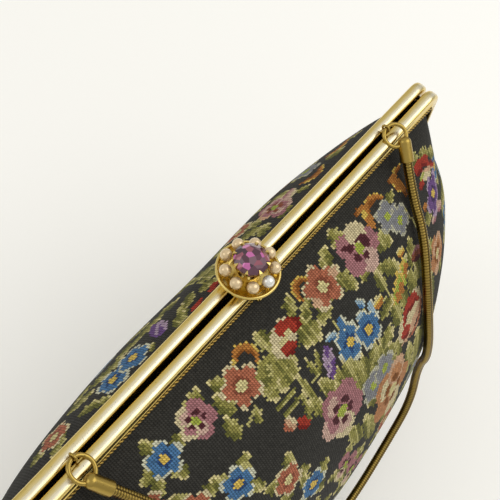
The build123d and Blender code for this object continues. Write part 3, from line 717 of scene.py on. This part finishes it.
def giltMaterial(name, colour, tarnish, roughness):
    # gilt brass polished by hand: near-white along the crest, partly where the gilding has gone and partly a
    # painted highlight, with fine dark specks
    material, tree, shader = newMaterial(name, {"Metallic": 1.0})
    where = addNode(tree, "ShaderNodeTexCoord").outputs["Object"]
    stretched = addNode(tree, "ShaderNodeMapping", {"Scale": (1.0, 6.0, 6.0)}, {0: where})
    streaks = addNode(
        tree, "ShaderNodeTexNoise", {"Scale": 160.0, "Detail": 6.0, "Roughness": 0.65},
        {0: stretched.outputs[0]}
    )
    # the crest band turns the gilt near-white: wear together with a painted highlight
    crest = addNode(tree, "ShaderNodeAttribute", {"attribute_name": "wearAndHighlight"})
    bareAndLit = addNode(
        tree, "ShaderNodeMath", {"operation": "MULTIPLY_ADD", 1: 0.9, 2: -0.62}, {0: crest.outputs[2]}
    )
    rubbedAndLit = addNode(
        tree, "ShaderNodeMath", {"operation": "ADD", "use_clamp": True},
        {0: bareAndLit.outputs[0], 1: streaks.outputs[0]}
    )
    tone = addNode(tree, "ShaderNodeMix", {"data_type": "RGBA"}, {0: rubbedAndLit.outputs[0]})
    tone.inputs[6].default_value = linearColour(colour)
    tone.inputs[7].default_value = linearColour(metals["wearAndHighlight"])
    specks = addNode(tree, "ShaderNodeTexNoise", {"Scale": 1500.0, "Detail": 3.0}, {0: where})
    speckRamp = addNode(tree, "ShaderNodeValToRGB", links={0: specks.outputs[0]})
    speckRamp.color_ramp.elements[0].position, speckRamp.color_ramp.elements[1].position = 0.66, 0.8
    spotted = addNode(
        tree, "ShaderNodeMix", {"data_type": "RGBA"}, {0: speckRamp.outputs[0], 6: tone.outputs[2]}
    )
    spotted.inputs[7].default_value = linearColour(tarnish)
    tree.links.new(spotted.outputs[2], shader.inputs["Base Color"])
    dull = addNode(
        tree, "ShaderNodeMath", {"operation": "MULTIPLY_ADD", 1: 0.16, 2: roughness}, {0: rubbedAndLit.outputs[0]}
    )
    tree.links.new(dull.outputs[0], shader.inputs["Roughness"])
    bump = addNode(
        tree, "ShaderNodeBump", {"Strength": 0.15, "Distance": 0.00005}, {"Height": specks.outputs[0]}
    )
    tree.links.new(bump.outputs[0], shader.inputs["Normal"])
    return material


# its own colour on the raised parts, and darkened in its recesses by painted shade
def recessShadeMaterial(name, high, low, metallic, roughness):
    material, tree, shader = newMaterial(name, {"Metallic": metallic, "Roughness": roughness})
    depth = addNode(tree, "ShaderNodeAttribute", {"attribute_name": "depth"})
    tone = addNode(tree, "ShaderNodeMix", {"data_type": "RGBA"}, {0: depth.outputs[2]})
    tone.inputs[6].default_value, tone.inputs[7].default_value = linearColour(high), linearColour(low)
    tree.links.new(tone.outputs[2], shader.inputs["Base Color"])
    return material


gilt = giltMaterial("giltBrass", metals["gilt"], metals["tarnish"], 0.2)
antiqueGilt = giltMaterial("antiqueGiltBrass", metals["chain"], metals["chainShadeAndTarnish"], 0.28)
chainGilt = recessShadeMaterial("snakeChainGilt", metals["chain"], metals["chainShadeAndTarnish"], 1.0, 0.3)
gimpThread = recessShadeMaterial("metalThreadGimp", metals["thread"], metals["threadRecessShade"], 0.85, 0.42)

bars = {
    "halfLength": 101.3,
    "top": 150.0,
    "corner": 8.0,
    "lean": 0.1667,  # how far the legs lean outwards for each mm down
    "legEnd": 123.5,
    "front": 4.6,  # face of each half from the middle plane, mm
    "gapMiddle": 1.6,
    "gapEnd": 0.7,
    "crown": 1.6,  # height of the rounded crown
    "crownPower": 2.7,
    "depth": 4.4,
}
ears = {"pivot": 120.0, "radius": 3.0, "neck": (0.8, 4.3), "neckTop": 127.5, "fanCentre": (2.0, 121.5)}


def outlinePath(inset, low):
    # the side outline of the frame set in by an inset: up one leg, round the corner, along the bar, down again
    lean = bars["lean"]
    half = bars["halfLength"] - inset * (math.hypot(1, lean) - lean)
    top = bars["top"] - inset
    radius = max(bars["corner"] - inset, 0.4)
    swing = math.pi / 2 - math.atan(lean)
    cut = radius * math.tan(swing / 2)
    t = np.linspace(0, swing, 14)
    bend = np.array([half - cut, top - radius]) + radius * np.stack([np.sin(t), np.cos(t)], axis=1)
    foot = np.array([half + (top - low) * lean, low])
    leg = bend[-1] + (foot - bend[-1]) * np.linspace(0, 1, 12)[1:, None]
    bar = np.stack([np.linspace(0, half - cut, 60)[:-1], np.full(59, top)], axis=1)
    right = np.concatenate([bar, bend, leg])
    return np.concatenate([(right * [-1, 1])[:0:-1], right])


def barProfile():
    # a folded channel with a broad rounded crown, a superellipse of the power given, and a rolled lip in
    # front:
    # depth below the crown, share of the width
    a = np.linspace(0, math.pi, 25)
    bend = 2 / bars["crownPower"]
    arch = 1 - np.sin(a) ** bend
    crown = np.stack([bars["crown"] * arch, 0.5 - 0.5 * np.sign(np.cos(a)) * abs(np.cos(a)) ** bend], axis=1)
    depth = bars["depth"]
    lip = [
        (depth - 1.1, 1.0), (depth - 0.95, 1.03), (depth - 0.7, 1.06), (depth - 0.35, 1.06),
        (depth - 0.08, 1.03)
    ]
    inner = [
        (depth, 0.98), (depth, 0.8), (depth - 0.1, 0.76), (1.1, 0.76), (1.0, 0.7), (1.0, 0.3), (1.1, 0.24)
    ]
    return np.array(
        [*crown.tolist(), *lip, *inner, (depth - 0.1, 0.24), (depth, 0.2), (depth, 0.02), (depth - 0.1, 0.0)]
    )


def earMesh(name, inner, outer, sign, towards):
    # a hinge ear: round below, square above where it goes up into the leg, cut from sheet
    a = np.linspace(math.radians(105.5), math.radians(-180), 28)
    disc = [0, ears["pivot"]] + ears["radius"] * np.stack([np.cos(a), np.sin(a)], axis=1)
    near, far = ears["neck"]
    top = [(-far, ears["neckTop"]), (-near, ears["neckTop"])]
    edge = np.concatenate([top, disc, [(-far, ears["pivot"])]]) * [-towards, 1]
    pivot = np.array([ears["fanCentre"][0] * towards, ears["fanCentre"][1]])
    rows = []
    for x, scale in ((inner, 0), (inner, 1), (outer, 1), (outer, 0)):
        rows.append(
            np.concatenate([np.full((len(edge), 1), x * sign), pivot + (edge - pivot) * scale], axis=1)
        )
    points = np.stack(rows)
    if sign * towards > 0:
        points = points[:, ::-1]
    return gridMesh(name, points * mm, gilt, closeAcross=True, sharp=35)[0]


for name, towards, bodyName, node, ear in (
    ("frontBar", -1, "bag", "front_frame", (102.4, 103.4)),
    ("backBar", 1, "back_half", "back_frame", (101.1, 102.1)),
):
    profile = barProfile()
    columns = []
    for inset, share in profile:
        flat = outlinePath(inset, bars["legEnd"])
        gap = bars["gapEnd"] + (bars["gapMiddle"] - bars["gapEnd"]) * (1 - (flat[:, 0] / 106) ** 2)
        y = gap / 2 + share * (bars["front"] - gap / 2)
        columns.append(np.stack([flat[:, 0], towards * y, flat[:, 1]], axis=1))
    points = np.stack(columns, axis=1)
    if towards > 0:
        points = points[:, ::-1]
        profile = profile[::-1]
    points = np.concatenate(
        [
            points[:1].mean(1, keepdims=True).repeat(len(profile), 1), points,
            points[-1:].mean(1, keepdims=True).repeat(len(profile), 1)
        ]
    )
    thing, used = gridMesh(name, points * mm, gilt, closeAcross=True, sharp=40)
    # the crest band sits on the side of each half where the highlight falls: wear together with a painted
    # highlight
    crest = np.exp(
        -(((profile[:, 1] - (0.62 if towards < 0 else 0.36)) / 0.24) ** 2)
    ) * (profile[:, 0] < bars["crown"] + 0.1)
    joinMeshes(thing, *[earMesh(f"{name}Ear{sign}", *ear, sign, towards) for sign in (-1, 1)])
    wearAndHighlight = np.zeros(len(thing.data.vertices))
    wearAndHighlight[: points.shape[0] * points.shape[1]] = np.broadcast_to(crest, points.shape[:2]).ravel()
    pointValues(thing, "wearAndHighlight", wearAndHighlight)
    finishPiece(thing, bodyName, "gilt_metal", node)
print("frame bent")


# direction at each point, and two ways square to it, the first nearest to the reference
def pathFrames(path, reference):
    along = np.gradient(path, axis=0)
    along /= np.linalg.norm(along, axis=1, keepdims=True)
    first = reference - along * (along @ reference)[:, None]
    first /= np.linalg.norm(first, axis=1, keepdims=True)
    return along, first, np.cross(along, first)


def resample(path, spacing):
    length = np.concatenate([[0], np.cumsum(np.linalg.norm(np.diff(path, axis=0), axis=1))])
    wanted = np.linspace(0, length[-1], int(length[-1] / spacing) + 1)
    return np.stack([np.interp(wanted, length, path[:, c]) for c in range(3)], axis=1), wanted


def tubeMesh(name, path, radius, angles, reference, material, depth=None, closed=False):
    # a tube whose radius is given for each point of the path and each angle round it; open paths get closed
    # ends
    if closed:
        path = np.concatenate([path[-2:-1], path, path[1:2]])
        along, first, second = (v[1:-1] for v in pathFrames(path, np.array(reference, float)))
        path = path[1:-1]
    else:
        along, first, second = pathFrames(path, np.array(reference, float))
    ring = first[:, None] * np.cos(angles)[None, :, None] + second[:, None] * np.sin(angles)[None, :, None]
    points = path[:, None] + ring * radius[..., None]
    if not closed:
        ends = [np.broadcast_to(path[k], points[:1].shape) for k in (0, -1)]
        points = np.concatenate([ends[0], points, ends[1]])
        depth = None if depth is None else np.concatenate(
            [np.ones((1, len(angles))), depth, np.ones((1, len(angles)))]
        )
    thing, used = gridMesh(name, points * mm, material, closeAcross=True)
    if depth is not None:
        pointValues(thing, "depth", depth)
    return thing


chain = {
    "diameter": 3.5,
    "pitch": 0.95,  # one plate, mm
    "lug": (72.0, 0.0, 151.9),  # eye of the right lug; the left one mirrors it
    "ringRadius": 3.75,
    "ringWire": 0.66,
    "ringDip": 13.4,  # degrees that each ring slopes down over the front bar
    "ringTurn": 10.0,
    "capLength": 8.4,
    "capRadius": 2.3,
    "route": [  # mm, heights from the crown of the bars, from the right cap to the left one
        (65.9, -19.1, -10.9),
        (61.0, -29.6, -17.6),
        (50.4, -43.7, -32.7),
        (52.5, -54.4, -64.1),
        (59.2, -53.4, -87.2),
        (56.1, -59.7, -108.7),
        (42.0, -62.4, -124.2),
        (16.8, -65.2, -133.5),
        (-14.2, -64.8, -134.1),
        (-40.5, -62.2, -124.8),
        (-55.3, -59.8, -109.0),
        (-59.0, -53.8, -87.0),
        (-52.8, -54.2, -63.8),
        (-50.9, -43.5, -32.4),
        (-61.0, -29.6, -17.6),
        (-65.9, -19.1, -10.9),
    ],
}


# the smooth line through the route: a quadratic NURBS that starts and ends at its ends
def splinePath(points):
    curve = bpy.data.curves.new("chainRoute", "CURVE")
    curve.dimensions = "3D"
    curve.resolution_u = 40
    spline = curve.splines.new("NURBS")
    spline.points.add(len(points) - 1)
    spline.points.foreach_set("co", np.concatenate([points, np.ones((len(points), 1))], axis=1).ravel())
    spline.order_u = 3
    spline.use_endpoint_u = True
    holder = bpy.data.objects.new("chainRoute", curve)
    mesh = bpy.data.meshes.new_from_object(holder)
    found = np.zeros(len(mesh.vertices) * 3)
    mesh.vertices.foreach_get("co", found)
    bpy.data.objects.remove(holder)
    bpy.data.curves.remove(curve)
    bpy.data.meshes.remove(mesh)
    return found.reshape(-1, 3)


def chainEnds():
    # for each side: the lug's eye, the ring's middle and its axis, the far side of the ring, the way the
    # chain leaves
    route = np.array(chain["route"], float) + [0, 0, bars["top"]]
    dip, across = math.radians(chain["ringDip"]), math.radians(chain["ringTurn"])
    found = []
    for side, near in ((1, route[0]), (-1, route[-1])):
        outward = np.array(
            [side * math.sin(across) * math.cos(dip), -math.cos(across) * math.cos(dip), -math.sin(dip)]
        )
        lug = np.array(chain["lug"]) * [side, 1, 1]
        far = lug + outward * 2 * chain["ringRadius"]
        run = (near - far) / np.linalg.norm(near - far)
        found.append((lug, lug + outward * chain["ringRadius"], outward, far, run))
    return route, found


route, ends = chainEnds()
capMouth = chain["capLength"] - 1.9  # the cap reaches this far past the ring's wire
chainPath = splinePath(
    np.concatenate(
        [[ends[0][3] + ends[0][4] * (capMouth - 2)], route, [ends[1][3] + ends[1][4] * (capMouth - 2)]]
    )
)
path, distance = resample(chainPath, 0.155)
angles = np.arange(24) / 24 * 2 * math.pi
# four columns of plates, each half a plate further on than its neighbour; the swell of a plate is a rounded
# saw
# along the chain times a rounded arch across the column
facing = angles + math.pi / 4
phase = distance[:, None] / chain["pitch"] + 0.5 * (np.floor(facing / (math.pi / 2)) % 2)[None, :]
saw = phase % 1.0
swell = np.sin(math.pi * saw) ** 0.6 * (0.7 + 0.3 * saw) * (abs(np.sin(2 * facing)) ** 0.3)[None, :]
tubeRadius = chain["diameter"] / 2 * (0.82 + 0.18 * swell)
# the colour darkens between the plates by painted shade, taken as one minus the swell
snake = tubeMesh("snakeChain", path, tubeRadius, angles, (-0.5, -0.1, 0.85), chainGilt, 1 - swell)
finishPiece(snake, "handle", "chain_gilt", "snake_chain")
fittings = []
for side, hand, (lug, middle, outward, far, run) in ((1, "right", ends[0]), (-1, "left", ends[1])):
    a = np.linspace(0, 2 * math.pi, 49)
    upward = np.cross(np.cross(outward, [0, 0, 1]), outward)
    upward /= np.linalg.norm(upward)
    sideways = np.cross(outward, upward)
    lying = sideways * math.cos(0.35) - side * upward * math.sin(0.35)
    circle = middle + chain["ringRadius"] * (np.cos(a)[:, None] * outward + np.sin(a)[:, None] * lying)
    turns = np.arange(12) / 12 * 2 * math.pi
    ring = tubeMesh(
        f"jumpRing{hand.title()}", circle, np.full((49, 12), chain["ringWire"]), turns,
        np.cross(outward, lying), antiqueGilt, closed=True
    )
    finishPiece(ring, "handle", "chain_gilt", f"jump_ring_{hand}")
    t = np.linspace(0, 1, 40)
    line = far + run * (-1.9 + chain["capLength"] * t)[:, None]
    dome = np.sqrt(np.clip(1 - (1 - np.clip(t * chain["capLength"] / 1.9, 0, 1)) ** 2, 0.02, 1))
    capRadius = chain["capRadius"] * dome * (0.94 + 0.06 * t)
    cap = tubeMesh(
        f"endCap{hand.title()}", line, np.repeat(capRadius[:, None], 28, axis=1),
        np.arange(28) / 28 * 2 * math.pi, outward, antiqueGilt
    )
    finishPiece(cap, "handle", "chain_gilt", f"end_cap_{hand}")
    stem = np.array([lug + [0, 0, -5.0], lug + [0, 0, -1.2]])
    eyeLoop = lug + 1.25 * (
        np.cos(a)[:, None] * np.array([0, 1, 0]) + np.sin(a)[:, None] * np.array([0, 0, 1])
    )
    lugPiece = tubeMesh(
        f"lug{hand.title()}", eyeLoop, np.full((49, 12), 0.38), turns, (1, 0, 0), antiqueGilt, closed=True
    )
    joinMeshes(
        lugPiece,
        tubeMesh(
            "stem", resample(stem, 0.5)[0], np.full((len(resample(stem, 0.5)[0]), 12), 0.3), turns, (1, 0, 0),
            antiqueGilt
        )
    )
    finishPiece(lugPiece, "bag", "gilt_metal", f"lug_{hand}")
    fittings += [ring, cap]
print("chain hung, mm:", round(float(distance[-1]), 1))

gimp = {"inset": 5.0, "front": 4.85, "radius": 0.5, "twist": 2.6}
for name, towards, bodyName, node in (
    ("gimpFront", -1, "bag", "front_braid"),
    ("gimpBack", 1, "back_half", "back_braid"),
):
    flat = outlinePath(gimp["inset"], 125.5)
    path, distance = resample(
        np.stack([flat[:, 0], np.full(len(flat), towards * gimp["front"]), flat[:, 1]], axis=1), 0.2
    )
    turns = np.arange(14) / 14 * 2 * math.pi
    # two strands twisted together: the radius swells twice round, and the swells turn along the gimp
    twist = np.cos(
        turns[None, :] - 2 * math.pi * distance[:, None] / gimp["twist"] + 0.8 * np.sin(
            distance[:, None] / 3.1
        )
    ) ** 2
    # the colour darkens in the grooves between the two strands by painted shade
    piece = tubeMesh(
        name, path, gimp["radius"] * (0.7 + 0.35 * twist), turns, (0, 1, 0), gimpThread, (1 - twist) ** 1.2
    )
    finishPiece(piece, bodyName, "braid", node)
print("gimp sewn on")

jewels = {"champagne": "#e2c89c", "white": "#ecebe2", "whitePearl": 7, "facet": 1.9}  # facet in mm


def pearlMaterial(name, colour):  # imitation pearl: nacre lacquer, a clear skin over a satin body colour
    material, tree, shader = newMaterial(
        name,
        {
            "Base Color": linearColour(colour), "Roughness": 0.25, "Metallic": 0.5, "Coat Weight": 0.6,
            "Coat Roughness": 0.15, "Specular IOR Level": 0.5,
        },
    )
    where = addNode(tree, "ShaderNodeTexCoord").outputs["Object"]
    noise = addNode(tree, "ShaderNodeTexNoise", {"Scale": 700.0, "Detail": 2.0}, {0: where})
    bump = addNode(
        tree, "ShaderNodeBump", {"Strength": 0.08, "Distance": 0.0001}, {"Height": noise.outputs[0]}
    )
    tree.links.new(bump.outputs[0], shader.inputs["Normal"])
    return material


pearls = {kind: pearlMaterial(kind + "Pearl", jewels[kind]) for kind in ("champagne", "white")}
# foil-backed cut glass in amethyst: each facet throws back its own dark or pink light
glass, tree, shader = newMaterial(
    "amethystGlass", {"Roughness": 0.04, "Metallic": 0.25, "Coat Weight": 0.8, "Coat Roughness": 0.02}
)
where = addNode(tree, "ShaderNodeTexCoord").outputs["Object"]
facets = addNode(tree, "ShaderNodeTexVoronoi", {"Scale": 1000 / jewels["facet"]}, {"Vector": where})
lightBack = addNode(tree, "ShaderNodeSeparateColor", links={0: facets.outputs["Color"]})
glow = addNode(tree, "ShaderNodeValToRGB", links={0: lightBack.outputs[0]})
glow.color_ramp.interpolation = "CONSTANT"
for place, colour in (
    (0.22, "#5d3444"), (0.42, "#7a5864"), (0.62, "#96505f"), (0.76, "#4d2636"), (0.9, "#c768a6")
):
    glow.color_ramp.elements.new(place).color = linearColour(colour)
glow.color_ramp.elements[0].color = linearColour("#3d2230")
glow.color_ramp.elements[-1].color = linearColour("#c768a6")
tree.links.new(glow.outputs[0], shader.inputs["Base Color"])
for name, node in nodes.items():
    if name.startswith("pearl_"):
        finish = pearls["white" if name.endswith(str(jewels["whitePearl"])) else "champagne"]
    else:
        finish = glass if name == "stone" else gilt
    node.data.materials.clear()
    node.data.materials.append(finish)
print("metal, pearls and stone finished")

studio = {
    "table": "#f7f6f1",
    "paperLift": 0.125,
    "keyPower": 3.6,
    "keyPlace": (0.46, -0.45, 0.9),
    "keySize": (1.0, 0.8),
    "fillPower": 1.2,
    "fillPlace": (-0.7, 0.6, 0.8),
    "horizon": 0.5,
    "zenith": 0.75,
}
paper, tree, shader = newMaterial(  # matt studio paper: it takes the shadow, and shows paler as a background
    "paperSweep", {"Base Color": linearColour(studio["table"]), "Roughness": 1.0, "Specular IOR Level": 0.0}
)
shader.inputs["Emission Color"].default_value = linearColour(studio["table"])
rays = addNode(tree, "ShaderNodeLightPath")
mirrored = addNode(
    tree, "ShaderNodeMath", {"operation": "MAXIMUM"},
    {0: rays.outputs["Is Glossy Ray"], 1: rays.outputs["Is Transmission Ray"]}
)
seen = addNode(
    tree, "ShaderNodeMath", {"operation": "MAXIMUM"},
    {0: rays.outputs["Is Camera Ray"], 1: mirrored.outputs[0]}
)
lift = addNode(
    tree, "ShaderNodeMath", {"operation": "MULTIPLY", 1: studio["paperLift"]}, {0: seen.outputs[0]}
)
tree.links.new(lift.outputs[0], shader.inputs["Emission Strength"])
gx, gy = np.meshgrid(np.array([-2.0, 2.0]), np.array([-2.0, 2.0]))
tableTop, used = gridMesh("tableTop", np.stack([gx, gy, np.full_like(gx, -0.0002)], axis=-1)[:, ::-1], paper)


def softbox(name, place, target, size, power):
    lampData = bpy.data.lights.new(name, "AREA")
    lampData.shape = "RECTANGLE"
    lampData.size, lampData.size_y = size
    lampData.energy = power
    lamp = bpy.data.objects.new(name, lampData)
    bpy.context.scene.collection.objects.link(lamp)
    back = np.array(place, float) - np.array(target, float)
    back /= np.linalg.norm(back)
    side = np.cross([0, 1, 0.01], back)
    side /= np.linalg.norm(side)
    placed = np.eye(4)
    placed[:3, 0], placed[:3, 1], placed[:3, 2], placed[:3, 3] = side, np.cross(back, side), back, place
    lamp.matrix_world = Matrix(placed.tolist())


softbox("keySoftbox", studio["keyPlace"], (0, 0, 0.12), studio["keySize"], studio["keyPower"])
softbox("fillSoftbox", studio["fillPlace"], (0, 0, 0.12), (0.6, 0.6), studio["fillPower"])
world = bpy.data.worlds.new("studioAir")
bpy.context.scene.world = world
world.use_nodes = True
air = world.node_tree
above = addNode(
    air, "ShaderNodeSeparateXYZ", links={0: addNode(air, "ShaderNodeTexCoord").outputs["Generated"]}
)
height = addNode(
    air, "ShaderNodeMapRange", {1: -0.1, 2: 0.9, 3: studio["horizon"], 4: studio["zenith"]},
    {0: above.outputs[2]}
)
air.nodes["Background"].inputs[0].default_value = (1, 0.99, 0.965, 1)
air.links.new(height.outputs[0], air.nodes["Background"].inputs[1])
bpy.context.scene.view_settings.view_transform = "Standard"
print("studio lit")
